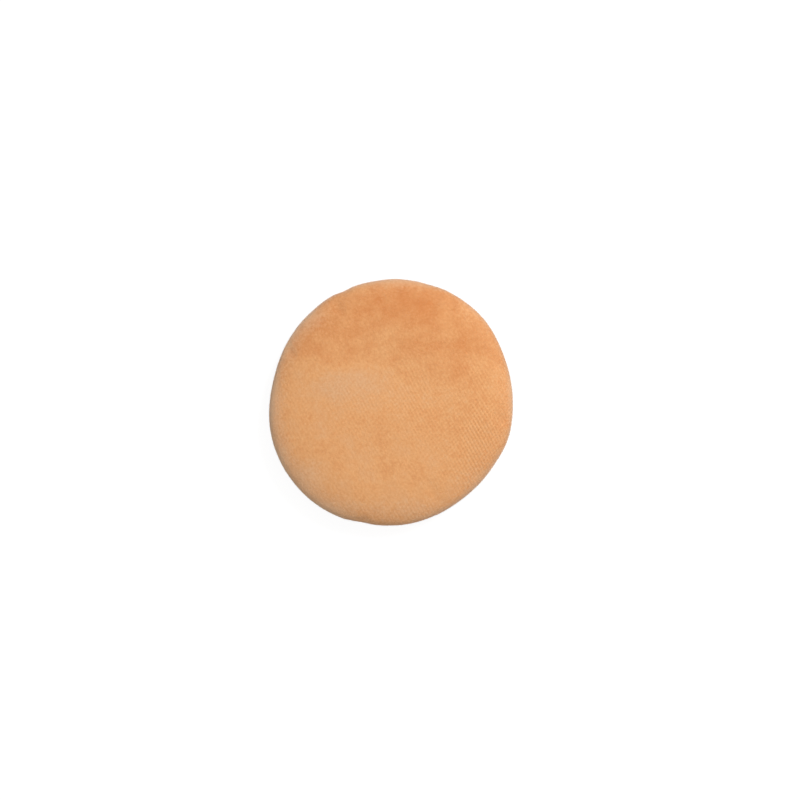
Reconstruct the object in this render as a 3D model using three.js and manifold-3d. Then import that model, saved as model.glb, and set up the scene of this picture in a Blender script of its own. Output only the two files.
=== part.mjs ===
// A round velour powder puff, lying on its back with its face up.
// Two velour covers are sewn together pile to pile, turned through a gap in the seam and filled
// with a foam core between two sheets of wadding. The gap is closed by hand with a ladder stitch.
// A satin ribbon for the fingers crosses the back, and the seam holds both of its ends.
// Lengths are in millimetres. +Z is up, and the ribbon runs along Y.

import * as THREE from "three";
import { mergeVertices } from "three/addons/utils/BufferGeometryUtils.js";
import Module from "manifold-3d";

// The whole puff
const puffDiameter = 80; // over the pile at the widest
const faceHeight = 7.2; // from the seam up to the crown of the face
const backHeight = 6.9; // from the seam to the crown that the back would have if it weren't flattened
const backFlattening = 0.5; // what its own weight takes off the crown of the back
const rimLift = 2.4; // from the seam to the widest part of each cover
const crownPower = 5.5; // 2 is an ellipse, and more gives a flatter face with a tighter rim
const seatGap = 0.3; // between pieces that touch

// Velour covers
const coverWall = 1.6; // the knitted ground with its pile
const seamDepth = 1.5; // how far the bottom of the seam groove lies inside the widest part
const allowanceWidth = 4.5; // cloth turned in beyond the groove
const allowanceWall = 1.1; // its pile is pressed flat
const foldInset = 0.4; // how far the inside of the fold leans in towards the allowance

// Filling
const coreThickness = 5;
const coreWaist = 0.5; // the cutting die squeezes the foam, so its edge comes out hollow

// Satin ribbon
const ribbonWidth = 25;
const ribbonThickness = 0.3;
const ribbonSeat = 0.15; // between the ribbon and the pile on either side of it

// Sewing
const threadDiameter = 0.25;
const threadSeat = 0.1; // between a thread and the cloth or thread beside it
const stitchInset = 1.5; // from the bottom of the groove in to the seam line
const stitchCount = 48; // round the whole seam, two real stitches to each
const gapStitches = 6; // of those, sewn by hand over the turning gap
const gapAngle = 160; // degrees, the middle of the turning gap
const threadTail = 1.3; // cut end beyond the last stitch
const knotShare = 2.2; // of the thread's diameter, across a knot
const loopWidthShare = 1.3; // of the space that one thread takes, from the seam line to a loop's leg
const legLevelShare = 0.2; // of a thread's height on its allowance, where its loop is widest
const legShare = 0.06; // of a stitch, from the middle of a needle hole to the loop's legs
const bendShare = 0.12; // of a stitch, from there to where the thread lies down on the cloth

// How the outline departs from a true circle: [lobes, share of the radius, degrees to the first lobe]
const outlineShares = [
  [2, 0.016, 55],
  [3, 0.005, -28],
  [5, 0.005, -16],
];

// Fineness of the curves
const crownSteps = 7;
const flattenedSteps = 5;
const lipSteps = 3;
const innerSteps = 3;
const waistSteps = 4;
const ribbonColumns = 6;
const threadSides = 5;
const mergeTolerance = 1e-4;
const cutOverrun = 1;

const halfTurn = Math.PI;
const quarterTurn = Math.PI / 2;

// Sizes that follow from those
const puffRadius = puffDiameter / 2;
const foldGap = ribbonThickness + 2 * ribbonSeat; // between the two allowances, where the ribbon's ends go
const grooveRadius = puffRadius - seamDepth;
const allowanceEnd = grooveRadius - allowanceWidth;
const allowanceTop = foldGap / 2 + allowanceWall;
const seamRadius = grooveRadius - stitchInset;
const coreRadius = allowanceEnd - seatGap;
const threadRadius = threadDiameter / 2;
const threadLevel = allowanceTop + threadSeat + threadRadius; // of a thread lying on an allowance
const knotDiameter = knotShare * threadDiameter;
const knotLevel = allowanceTop + threadSeat + knotDiameter / 2;
const waddingFloor = knotLevel + knotDiameter / 2 + seatGap;
const restDepth = backHeight - backFlattening + ribbonSeat + ribbonThickness;
const stitchTurn = (2 * halfTurn) / stitchCount;
const stitchLength = seamRadius * stitchTurn;

// In a lockstitch the two threads hook round each other inside the cloth.
const threadSpace = threadDiameter + threadSeat;
const loopWidth = loopWidthShare * threadSpace;
const loopHook = threadSpace; // how far a loop's tip passes the middle of the cloth
const holeWidth = 2 * (loopWidth + threadRadius + threadSeat);
const holeLength = 2 * bendShare * stitchLength + threadSpace;

const wasm = await Module();
wasm.setup();

function toSolid(geometry) {
  const bare = new THREE.BufferGeometry();
  bare.setAttribute("position", geometry.getAttribute("position"));
  bare.setIndex(geometry.index);
  const merged = mergeVertices(bare, mergeTolerance);
  const corners = Array.from(merged.index.array);
  const kept = [];
  for (let i = 0; i < corners.length; i += 3) {
    const [a, b, c] = corners.slice(i, i + 3);
    if (a !== b && b !== c && c !== a) kept.push(a, b, c);
  }
  return new wasm.Manifold(
    new wasm.Mesh({
      numProp: 3,
      vertProperties: merged.getAttribute("position").array,
      triVerts: new Uint32Array(kept),
    }),
  );
}

function toGeometry(solid) {
  const mesh = solid.getMesh();
  const geometry = new THREE.BufferGeometry();
  geometry.setAttribute("position", new THREE.BufferAttribute(mesh.vertProperties, 3));
  geometry.setIndex(new THREE.BufferAttribute(mesh.triVerts, 1));
  return geometry;
}

// Turns a profile of Vector2(radius, height) about Z. The solid lies to the left of the profile.
function turned(profile) {
  return new THREE.LatheGeometry(profile, stitchCount).rotateX(quarterTurn);
}

// The crown of a cover or of its filling, from the axis or the edge of its flat out to the widest
// part. inset is how far it lies inside the outer surface of the cover.
function crownCurve(height, flattening, inset, steps) {
  const rise = height - rimLift - inset;
  const start = Math.acos((rise - flattening) / rise);
  const points = flattening > 0 ? [new THREE.Vector2(0, height - inset - flattening)] : [];
  for (let i = 0; i <= steps; i++) {
    const angle = THREE.MathUtils.lerp(start, quarterTurn, i / steps);
    const radius = (puffRadius - inset) * Math.sin(angle) ** (2 / crownPower);
    points.push(new THREE.Vector2(radius, rimLift + rise * Math.cos(angle)));
  }
  return points;
}

// The rounded lip of the seam groove, from its bottom out to the widest part.
function lipCurve() {
  const lift = rimLift - foldGap / 2;
  const points = [];
  for (let i = 0; i < lipSteps; i++) {
    const angle = (quarterTurn * i) / lipSteps;
    const radius = grooveRadius + seamDepth * Math.sin(angle);
    points.push(new THREE.Vector2(radius, foldGap / 2 + lift * (1 - Math.cos(angle))));
  }
  return points;
}

// The visible side of a cover, from the bottom of the groove to its middle.
function pileSide(height, flattening, steps) {
  return [...lipCurve(), ...crownCurve(height, flattening, 0, steps).reverse()];
}

// A cover: its crown, its rim, and the allowance that turns in from the rim along the seam.
function coverSolid(height, flattening, steps) {
  const inside = crownCurve(height, flattening, coverWall, innerSteps);
  return toSolid(
    turned([
      ...inside,
      new THREE.Vector2(puffRadius - coverWall - foldInset, allowanceTop),
      new THREE.Vector2(allowanceEnd, allowanceTop),
      new THREE.Vector2(allowanceEnd, foldGap / 2),
      ...pileSide(height, flattening, steps),
    ]),
  );
}

// A sheet of wadding fills the cover down to the core, and outside the core down to the allowance
// with the knots of the hand sewing on it.
function waddingSolid(height, flattening) {
  const inset = coverWall + seatGap;
  const edge = puffRadius - inset;
  const insideCover = turned([
    new THREE.Vector2(0, 0),
    new THREE.Vector2(edge - foldInset, 0),
    new THREE.Vector2(edge - foldInset, allowanceTop),
    ...crownCurve(height, flattening, inset, innerSteps).reverse(),
  ]);
  const underWadding = turned([
    new THREE.Vector2(0, -cutOverrun),
    new THREE.Vector2(puffRadius, -cutOverrun),
    new THREE.Vector2(puffRadius, waddingFloor),
    new THREE.Vector2(coreRadius + seatGap, waddingFloor),
    new THREE.Vector2(coreRadius + seatGap, coreThickness / 2 + seatGap),
    new THREE.Vector2(0, coreThickness / 2 + seatGap),
  ]);
  return toSolid(insideCover).subtract(toSolid(underWadding));
}

function coreSolid() {
  const half = coreThickness / 2;
  const profile = [new THREE.Vector2(0, -half)];
  for (let i = 0; i <= waistSteps; i++) {
    const across = THREE.MathUtils.lerp(-1, 1, i / waistSteps);
    profile.push(new THREE.Vector2(coreRadius - coreWaist * (1 - across ** 2), half * across));
  }
  profile.push(new THREE.Vector2(0, half));
  return toSolid(turned(profile));
}

// Moves each straight of a profile by the same distance away from its solid, which lies to its left.
function offsetProfile(profile, distance) {
  const outward = profile.slice(1).map((point, i) => {
    const along = point.clone().sub(profile[i]).normalize();
    return new THREE.Vector2(along.y, -along.x);
  });
  return profile.map((point, i) => {
    const before = outward[Math.max(i - 1, 0)];
    const after = outward[Math.min(i, outward.length - 1)];
    const reach = distance / (1 + before.dot(after));
    return point.clone().addScaledVector(before.clone().add(after), reach);
  });
}

// A closed sheet between two grids of points, which match row by row and column by column.
function sheetSolid(under, over) {
  const rows = under.length;
  const columns = under[0].length;
  const position = [...under.flat(), ...over.flat()].flatMap((p) => [p.x, p.y, p.z]);
  const at = (side, row, column) => (side * rows + row) * columns + column;
  const index = [];
  const quad = (a, b, c, d) => index.push(a, b, c, a, c, d);
  for (let r = 0; r < rows - 1; r++) {
    for (let c = 0; c < columns - 1; c++) {
      quad(at(1, r, c), at(1, r, c + 1), at(1, r + 1, c + 1), at(1, r + 1, c));
      quad(at(0, r, c), at(0, r + 1, c), at(0, r + 1, c + 1), at(0, r, c + 1));
    }
    quad(at(0, r, 0), at(1, r, 0), at(1, r + 1, 0), at(0, r + 1, 0));
    const last = columns - 1;
    quad(at(0, r, last), at(0, r + 1, last), at(1, r + 1, last), at(1, r, last));
  }
  for (let c = 0; c < columns - 1; c++) {
    quad(at(0, 0, c), at(0, 0, c + 1), at(1, 0, c + 1), at(1, 0, c));
    const last = rows - 1;
    quad(at(0, last, c), at(1, last, c), at(1, last, c + 1), at(0, last, c + 1));
  }
  const geometry = new THREE.BufferGeometry();
  geometry.setAttribute("position", new THREE.Float32BufferAttribute(position, 3));
  geometry.setIndex(index);
  return geometry;
}

// The ribbon follows the back cover from one side of the seam to the other. Its sides stay straight
// while it bends over the round rim, and both ends run in between the allowances.
function ribbonSolid() {
  const tailEnd = new THREE.Vector2(allowanceEnd, foldGap / 2);
  const meridian = [tailEnd, ...pileSide(backHeight, backFlattening, flattenedSteps)];
  const grid = (distance) => {
    const side = offsetProfile(meridian, distance).slice(0, -1);
    const row = (point, sign) =>
      Array.from({ length: ribbonColumns + 1 }, (_, c) => {
        const x = ribbonWidth * (c / ribbonColumns - 1 / 2);
        return new THREE.Vector3(x, sign * Math.sqrt(point.x ** 2 - x ** 2), point.y);
      });
    return [...side.map((p) => row(p, -1)), ...side.reverse().map((p) => row(p, 1))];
  };
  return toSolid(sheetSolid(grid(ribbonSeat), grid(ribbonSeat + ribbonThickness)));
}

// A point of a thread: how many stitches along the seam, how far out from it, and its height.
const onSeam = (stitches, out, height) => ({ stitches, out, height });

// A thread through a list of those points, with a knot wherever one is asked for.
function threadSolid(points, knots = []) {
  const middles = points.map(({ stitches, out, height }) => {
    const angle = stitches * stitchTurn;
    const radius = seamRadius + out;
    return new THREE.Vector3(radius * Math.cos(angle), radius * Math.sin(angle), height);
  });
  const position = [];
  middles.forEach((middle, i) => {
    const before = middles[Math.max(i - 1, 0)];
    const after = middles[Math.min(i + 1, middles.length - 1)];
    const along = after.clone().sub(before).normalize();
    const outward = new THREE.Vector3(middle.x, middle.y, 0).normalize();
    const across = outward.clone().addScaledVector(along, -outward.dot(along)).normalize();
    const over = new THREE.Vector3().crossVectors(along, across);
    const radius = knots.includes(i) ? knotDiameter / 2 : threadRadius;
    for (let s = 0; s < threadSides; s++) {
      const turn = (2 * halfTurn * s) / threadSides;
      const p = middle
        .clone()
        .addScaledVector(across, radius * Math.cos(turn))
        .addScaledVector(over, radius * Math.sin(turn));
      position.push(p.x, p.y, p.z);
    }
  });
  const index = [];
  const at = (ring, side) => ring * threadSides + (side % threadSides);
  for (let ring = 0; ring < middles.length - 1; ring++) {
    for (let s = 0; s < threadSides; s++) {
      const [a, b] = [at(ring, s), at(ring, s + 1)];
      const [c, d] = [at(ring + 1, s + 1), at(ring + 1, s)];
      index.push(a, b, c, a, c, d);
    }
  }
  const last = middles.length - 1;
  for (let s = 1; s < threadSides - 1; s++) {
    index.push(at(0, 0), at(0, s + 1), at(0, s));
    index.push(at(last, 0), at(last, s), at(last, s + 1));
  }
  const geometry = new THREE.BufferGeometry();
  geometry.setAttribute("position", new THREE.Float32BufferAttribute(position, 3));
  geometry.setIndex(index);
  return toSolid(geometry);
}

// Needle holes are counted in stitches from +X. The turning gap has its own run of them.
const gapMiddle = THREE.MathUtils.degToRad(gapAngle) / stitchTurn;
const firstGapHole = Math.round(gapMiddle - gapStitches / 2) + 1 / 2;
const gapHoles = Array.from({ length: gapStitches }, (_, i) => firstGapHole + i);
const machineHoles = Array.from(
  { length: stitchCount - gapStitches },
  (_, i) => firstGapHole + gapStitches + i,
);

// One thread of the lockstitch. side is 1 for the needle thread, which lies on the face cover's
// allowance, and -1 for the bobbin thread, which lies on the back cover's.
function lockstitchThread(side) {
  const tail = threadTail / stitchLength;
  const level = side * threadLevel;
  const legLevel = level * legLevelShare;
  const points = [onSeam(machineHoles[0] - tail, 0, level)];
  for (const hole of machineHoles) {
    points.push(
      onSeam(hole - bendShare, (-side * loopWidth) / 2, level),
      onSeam(hole - legShare, -side * loopWidth, legLevel),
      onSeam(hole, 0, -side * loopHook),
      onSeam(hole + legShare, side * loopWidth, legLevel),
      onSeam(hole + bendShare, (side * loopWidth) / 2, level),
      onSeam(hole + 1 / 2, 0, level),
    );
  }
  points.pop();
  points.push(onSeam(machineHoles.at(-1) + tail, 0, level));
  return threadSolid(points);
}

// The ladder stitch runs inside one fold, crosses to the other through the next needle hole, and
// so on from one end of the turning gap to the other. It has a knot at each end.
function ladderThread() {
  const tail = threadTail / stitchLength;
  const knotHalf = knotDiameter / 2 / stitchLength;
  let side = 1;
  const points = [
    onSeam(gapHoles[0] - tail - knotHalf, 0, knotLevel),
    onSeam(gapHoles[0] - tail, 0, knotLevel),
    onSeam(gapHoles[0] - tail + knotHalf, 0, threadLevel),
  ];
  for (const hole of gapHoles) {
    points.push(
      onSeam(hole - bendShare, 0, side * threadLevel),
      onSeam(hole - legShare / 2, 0, (side * threadLevel) / 2),
      onSeam(hole + legShare / 2, 0, (-side * threadLevel) / 2),
      onSeam(hole + bendShare, 0, -side * threadLevel),
    );
    side = -side;
  }
  const end = gapHoles.at(-1) + tail;
  points.push(
    onSeam(end - knotHalf, 0, side * threadLevel),
    onSeam(end, 0, side * knotLevel),
    onSeam(end + knotHalf, 0, side * knotLevel),
  );
  return threadSolid(points, [1, points.length - 2]);
}

// The needle holes, as one cutter that goes through everything in the seam.
function needleHoles() {
  const height = 2 * (allowanceTop + cutOverrun);
  const boxes = [...machineHoles, ...gapHoles].map((hole) =>
    toSolid(
      new THREE.BoxGeometry(holeWidth, holeLength, height)
        .translate(seamRadius, 0, 0)
        .rotateZ(hole * stitchTurn),
    ),
  );
  return boxes.reduce((all, box) => all.add(box));
}

// Draws a piece a little out of round. Every piece gets the same, so what fits still fits.
function outOfRound(geometry) {
  const position = geometry.getAttribute("position");
  for (let i = 0; i < position.count; i++) {
    const angle = Math.atan2(position.getY(i), position.getX(i));
    let scale = 1;
    for (const [lobes, share, towards] of outlineShares) {
      scale += share * Math.cos(lobes * (angle - THREE.MathUtils.degToRad(towards)));
    }
    position.setX(i, position.getX(i) * scale);
    position.setY(i, position.getY(i) * scale);
  }
  geometry.computeVertexNormals();
  return geometry;
}

const velour = { color: 0xe2a36c, roughness: 0.95, metalness: 0 };
const satin = { color: 0xe6ad7c, roughness: 0.4, metalness: 0 };
const foam = { color: 0xf4ead2, roughness: 0.9, metalness: 0 };
const wadding = { color: 0xf7f5f0, roughness: 1, metalness: 0 };
const thread = { color: 0xd9a06e, roughness: 0.7, metalness: 0 };

const puff = new THREE.Group();

function addPiece(name, solid, finish) {
  const mesh = new THREE.Mesh(
    outOfRound(toGeometry(solid)),
    new THREE.MeshStandardMaterial(finish),
  );
  mesh.name = name;
  puff.add(mesh);
}

// The back pieces are made face up and then turned over.
const turnedOver = (solid) => toSolid(toGeometry(solid).rotateX(halfTurn));

const holes = needleHoles();
const faceCover = coverSolid(faceHeight, 0, crownSteps);
const backCover = turnedOver(coverSolid(backHeight, backFlattening, flattenedSteps));

addPiece("face_cover", faceCover.subtract(holes), velour);
addPiece("face_wadding", waddingSolid(faceHeight, 0), wadding);
addPiece("foam_core", coreSolid(), foam);
addPiece("back_wadding", turnedOver(waddingSolid(backHeight, backFlattening)), wadding);
addPiece("back_cover", backCover.subtract(holes), velour);
addPiece("finger_ribbon", turnedOver(ribbonSolid()).subtract(holes), satin);
addPiece("seam_needle_thread", lockstitchThread(1), thread);
addPiece("seam_bobbin_thread", lockstitchThread(-1), thread);
addPiece("closing_thread", ladderThread(), thread);

// The origin is under the middle of the puff, on the surface that its ribbon lies on.
const middle = new THREE.Box3().setFromObject(puff).getCenter(new THREE.Vector3());
puff.position.set(-middle.x, -middle.y, restDepth);

export default puff;
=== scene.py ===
"""A round velour powder puff, face up on its finger ribbon. Lengths are in metres."""

import math

import bpy
import numpy as np
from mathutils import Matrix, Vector


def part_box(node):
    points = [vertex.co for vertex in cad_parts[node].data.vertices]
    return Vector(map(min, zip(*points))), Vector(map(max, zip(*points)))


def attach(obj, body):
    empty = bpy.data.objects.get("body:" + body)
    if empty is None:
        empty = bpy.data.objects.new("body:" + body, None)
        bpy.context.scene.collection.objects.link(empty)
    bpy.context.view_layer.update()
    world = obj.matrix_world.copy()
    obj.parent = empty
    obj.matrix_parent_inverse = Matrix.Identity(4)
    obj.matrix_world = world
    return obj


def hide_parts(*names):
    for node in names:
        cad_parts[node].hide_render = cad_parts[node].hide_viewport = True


MM = 0.001

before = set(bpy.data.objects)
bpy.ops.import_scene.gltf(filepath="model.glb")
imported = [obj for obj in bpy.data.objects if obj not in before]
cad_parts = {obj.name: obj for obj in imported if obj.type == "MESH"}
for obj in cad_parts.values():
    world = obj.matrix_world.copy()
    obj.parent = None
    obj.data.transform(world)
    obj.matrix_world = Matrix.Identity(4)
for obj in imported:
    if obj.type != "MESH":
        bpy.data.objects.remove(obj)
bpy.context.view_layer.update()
scene = bpy.context.scene


# The photograph

image_width_px = 800
puff_middle_px = (391, 402)
puff_width_px = 245
camera_height_degrees = 84
lens_mm = 85
sensor_mm = 36


# The frame's own sizes

rim_corners = 48  # of the frame's covers, one to each stitch
outline_waves = 6


def values_of(items, field):
    """The three numbers that each vertex or attribute entry of a mesh holds."""
    values = np.empty(len(items) * 3)
    items.foreach_get(field, values)
    return values.reshape(-1, 3)


def corners_of(mesh):
    """The vertex at each corner of each face."""
    corners = np.empty(len(mesh.loops), dtype=int)
    mesh.loops.foreach_get("vertex_index", corners)
    return corners


def node_points(name):
    return values_of(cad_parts[name].data.vertices, "co")


def lengths(vectors):
    return np.linalg.norm(vectors, axis=1, keepdims=True)


def polar(places):
    """How far out each place lies, and at what angle."""
    return np.hypot(places[:, 0], places[:, 1]), np.arctan2(places[:, 1], places[:, 0])


def rim_of(points, middle):
    """The mean radius of a cover, and the waves by which its outline departs from a circle."""
    radius, angle = polar(points[:, :2] - middle)
    turn = angle / (2 * np.pi)
    widest = np.zeros(rim_corners)
    np.maximum.at(widest, np.round(turn * rim_corners).astype(int) % rim_corners, radius)
    waves = np.fft.rfft(widest) / rim_corners
    return waves[0].real, 2 * waves[1 : outline_waves + 1] / waves[0].real


face_points = node_points("face_cover")
back_points = node_points("back_cover")
puff_middle = face_points[face_points[:, 2].argmax(), :2]
rim_radius, outline_shares = rim_of(face_points, puff_middle)
fold_gap = face_points[:, 2].min() - back_points[:, 2].max()
seam_height = (face_points[:, 2].min() + back_points[:, 2].max()) / 2
face_height = face_points[:, 2].max() - seam_height
back_height = seam_height - back_points[:, 2].min()
ribbon_low, ribbon_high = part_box("finger_ribbon")
ribbon_half_width = (ribbon_high.x - ribbon_low.x) / 2

pixel = 2 * rim_radius / puff_width_px  # of the photograph, on the puff
view = math.radians(camera_height_degrees)


def place_in_photo(px, height):
    """Where on the puff a pixel of the photograph lies, at a height over the seam."""
    right = (px[0] - puff_middle_px[0]) * pixel
    up = (puff_middle_px[1] - px[1]) * pixel
    return puff_middle + (right, (up - height * math.cos(view)) / math.sin(view))


def round_the_middle(radius, angle, height):
    """Points of the puff, from their radius, angle and height over the seam."""
    x = puff_middle[0] + radius * np.cos(angle)
    y = puff_middle[1] + radius * np.sin(angle)
    return np.stack((x, y, seam_height + height), axis=1)


# The shape of the covers

crown_power = 8.5
rim_lift = 2.4 * MM  # from the seam to the widest part of each cover
seam_depth = 1.5 * MM
allowance_width = 4.5 * MM
allowance_wall = 1.1 * MM
cover_wall = 1.6 * MM
fold_inset = 0.4 * MM
back_flattening = 0.5 * MM
pressed_gap = 0.05 * MM  # between the allowances where the ribbon isn't
closing_width = 3 * MM  # beside the ribbon, where they come together
closing_start = 1.2 * MM  # before the groove, the same
stitch_count = 48
pucker = 0.1 * MM  # how far the seam draws the cloth in at each stitch
pucker_start, pucker_end = 2.5 * MM, 2 * MM  # before the groove and past it
ribbon_press = 0.95 * MM  # how far the ribbon draws in the back cover's rim
press_edges = (0.1 * MM, 1.6 * MM)  # outside the ribbon, where that begins and ends to fade
press_starts = (0.8, 0.93)  # shares of the way to the groove, where it begins and is whole
dent_starts = (0.82, 0.94)  # the same for the dents of the rim
dent_end = 1.5 * MM  # past the groove, where they have faded out
crown_points = 400
lip_points = 40
square_share = 0.44  # of a disc's radius, which its middle square of cells takes
square_side = 0.85  # of the square's own size, before it is drawn halfway to a disc
settling_rings = 5  # over which the rings round it become circles

# Where the rim is drawn in, or bulges if the depth is below 0: degrees, depth in mm, width in
# degrees. Those at 72, 113 and 257 degrees are near the ribbon's edges.
rim_dents = (
    (40, -0.35, 11),
    (72, 0.2, 4),
    (88, -0.2, 5),
    (113, 0.45, 3),
    (131, 0.15, 5),
    (172, 0.3, 14),
    (219, 0.05, 4),
    (236, -0.85, 26),
    (257, 0.35, 4),
    (282, -0.35, 14),
    (329, 0.15, 6),
    (342, -0.3, 9),
)


def eased(value, low, high):
    """From 0 at low to 1 at high, with soft ends."""
    share = np.clip((value - low) / (high - low), 0, 1)
    return share * share * (3 - 2 * share)


def nearing(out, groove, band):
    """From 0 to 1 between two distances before the groove."""
    return eased(out, groove - band[0], groove - band[1])


def outline(angle):
    """The rim's share of its mean radius, by angle."""
    waves = np.arange(1, len(outline_shares) + 1)
    return 1 + (outline_shares * np.exp(1j * angle[..., None] * waves)).real.sum(-1)


def dent(angle):
    """How far the rim is drawn in, by angle."""
    total = 0
    for degrees, depth, width in rim_dents:
        apart = np.abs((np.degrees(angle) - degrees + 180) % 360 - 180)
        total = total + depth * MM * np.exp(-((apart / width) ** 2))
    return total


def crown_line(height, flattening, inset=0.0):
    """Radius and height over the seam, from the axis out to the widest part."""
    rise = height + flattening - rim_lift - inset
    start = np.arccos((rise - flattening) / rise)
    turn = start + (np.pi / 2 - start) * np.linspace(0, 1, crown_points) ** 3
    radius = (rim_radius - inset) * np.sin(turn) ** (2 / crown_power)
    line = np.stack((radius, rim_lift + rise * np.cos(turn)), axis=1)
    return np.vstack(((0, height - inset), line))


def pile_line(height, flattening):
    """The pile side of a cover, from its middle over the rim to the cut edge of its allowance."""
    turn = np.linspace(np.pi / 2, 0, lip_points)[1:]
    radius = rim_radius - seam_depth * (1 - np.sin(turn))
    rise = fold_gap / 2 + (rim_lift - fold_gap / 2) * (1 - np.cos(turn))
    lip = np.stack((radius, rise), axis=1)
    end = (rim_radius - seam_depth - allowance_width, fold_gap / 2)
    return np.vstack((crown_line(height, flattening), lip, end))


def wrong_line(height, flattening):
    """The wrong side of a cover, from its middle to the same cut edge."""
    crown = crown_line(height, flattening, cover_wall)
    fold = (rim_radius - cover_wall - fold_inset, fold_gap / 2 + allowance_wall)
    end = (rim_radius - seam_depth - allowance_width, fold[1])
    return np.vstack((crown, fold, end))


def pressed_in(out, groove):
    """Where the ribbon presses the back cover in: round its rim, but not in the groove."""
    start, whole = press_starts
    rim = eased(out, start * groove, whole * groove)
    return rim * (1 - nearing(out, groove, (rim_lift, 0)))


def dented(out, groove):
    """Where the rim has its dents: round it and in the groove."""
    start, whole = dent_starts
    return eased(out, start * groove, whole * groove) * (1 - eased(out, groove, groove + dent_end))


def ribbon_share(across):
    """1 under the finger ribbon and 0 away from it."""
    near, far = press_edges
    return 1 - eased(np.abs(across), ribbon_half_width + near, ribbon_half_width + far)


def run_of(line):
    """How far along a line each of its points lies."""
    return np.concatenate(([0], np.cumsum(np.linalg.norm(np.diff(line, axis=0), axis=1))))


def round_grid(cells, rings):
    """Points, quads and edge of a flat disc: a square of cells, and then rings of given radii."""
    side = np.linspace(-1, 1, cells + 1)
    s, t = np.meshgrid(side, side, indexing="ij")
    square = square_side * np.stack((s, t), axis=-1)
    disc = np.stack((s * np.sqrt(1 - t**2 / 2), t * np.sqrt(1 - s**2 / 2)), axis=-1)
    patch = rings[0] * (square + disc).reshape(-1, 2) / 2
    at = np.arange((cells + 1) ** 2).reshape(cells + 1, cells + 1)
    quads = [np.stack((at[:-1, :-1], at[1:, :-1], at[1:, 1:], at[:-1, 1:]), axis=-1).reshape(-1, 4)]
    loop = np.concatenate((at[:-1, 0], at[-1, :-1], at[:0:-1, -1], at[0, :0:-1]))
    first = patch[loop] / rings[0]
    turn = -0.75 * np.pi + 2 * np.pi * np.arange(len(loop)) / len(loop)
    circle = np.stack((np.cos(turn), np.sin(turn)), axis=1)
    points, count = [patch], len(patch)
    for step, radius in enumerate(rings[1:], start=1):
        share = min(1, step / settling_rings)
        points.append(radius * ((1 - share) * first + share * circle))
        outer = count + np.arange(len(circle))
        quads.append(np.stack((loop, outer, np.roll(outer, -1), np.roll(loop, -1)), axis=1))
        loop, count = outer, count + len(outer)
    return np.vstack(points), np.vstack(quads), loop


def wrapped(flat, line, side):
    """The flat pattern of a cover, in real lengths, laid along a line of the puff."""
    run = run_of(line)
    out, angle = polar(flat)
    groove = run[-1] - allowance_width
    seam = nearing(out, groove, (pucker_start, 0)) * (1 - eased(out, groove, groove + pucker_end))
    drawn_in = dent(angle) * dented(out, groove)
    drawn_in = drawn_in + pucker * (1 + np.cos(stitch_count * angle)) * seam
    radius = np.interp(out, run, line[:, 0]) * outline(angle) - drawn_in
    if side < 0:
        radius -= ribbon_press * pressed_in(out, groove) * ribbon_share(radius * np.cos(angle))
    height = np.interp(out, run, line[:, 1])
    across = np.abs(radius * np.cos(angle))
    bare = eased(across, ribbon_half_width, ribbon_half_width + closing_width)
    closing = (fold_gap - pressed_gap) / 2 * bare * nearing(out, groove, (closing_start, 0))
    return round_the_middle(radius, angle, side * (height - closing))


# Meshes


def placed(name, data):
    """An object in the scene."""
    item = bpy.data.objects.new(name, data)
    scene.collection.objects.link(item)
    return item


def new_mesh(name, points, faces, finish=None, attributes=()):
    """A piece with its attributes, which are arrays of one number or three to a point."""
    mesh = bpy.data.meshes.new(name)
    mesh.from_pydata(points.tolist(), [], [list(face) for face in faces])
    for key, values in dict(attributes).items():
        kind, field = ("FLOAT_VECTOR", "vector") if values.ndim == 2 else ("FLOAT", "value")
        mesh.attributes.new(key, kind, "POINT").data.foreach_set(field, values.ravel())
    if finish:
        mesh.materials.append(finish)
    mesh.shade_smooth()
    return placed(name, mesh)


def as_mesh(piece):
    """The mesh that a piece's modifiers make of it."""
    depsgraph = bpy.context.evaluated_depsgraph_get()
    return bpy.data.meshes.new_from_object(
        piece.evaluated_get(depsgraph), preserve_all_data_layers=True, depsgraph=depsgraph
    )


def finer(points, faces, attributes, levels=2):
    """Points, normals, quads and attributes of three numbers after subdivision."""
    piece = new_mesh("coarse", points, faces, None, attributes)
    smooth = piece.modifiers.new("finer", "SUBSURF")
    smooth.levels = smooth.render_levels = levels
    smooth.boundary_smooth = "PRESERVE_CORNERS"
    mesh = as_mesh(piece)
    fine = {key: values_of(mesh.attributes[key].data, "vector") for key in attributes}
    co, normal = values_of(mesh.vertices, "co"), values_of(mesh.vertices, "normal")
    bpy.data.objects.remove(piece)
    return co, normal, corners_of(mesh).reshape(-1, 4), fine


def smooth_waves(points, length, seed, count=14):
    """Even noise, mostly from -1 to 1, with features of about that length."""
    rng = np.random.default_rng(seed)
    axes = rng.normal(size=(count, points.shape[1]))
    axes *= (2 * np.pi / length) / lengths(axes)
    axes *= rng.uniform(0.6, 1.4, (count, 1))
    phase = rng.uniform(0, 2 * np.pi, count)
    return np.cos(points @ axes.T + phase).sum(1) / np.sqrt(count)


# The filling presses the covers out

swell_start = 0.35 * MM  # each cover starts this much smaller
swell_cap = 1.0 * MM  # the most that a point may move
swell_frames = 20
swell_scale = 10  # the simulation runs on a bigger copy, because it is made for garments
lump_length = 24 * MM
lump_noise = 0.6  # the lumps that don't show, next to those that do
loose_hold = 0.14  # Blender holds a point by the fourth power of this
resting_push = 0.7  # for the back, which lies on something
hold_band = (4 * MM, 1 * MM)  # before the groove, where the hold begins and is whole

# Where the wadding is thicker or thinner: pixel of the photograph, half width and height in pixels
face_lumps = (
    ((404, 306), (46, 13), -1.0),
    ((470, 352), (14, 30), -0.6),
    ((352, 384), (40, 26), 0.7),
    ((330, 440), (30, 22), -0.3),
    ((430, 440), (44, 30), 0.5),
)


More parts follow.
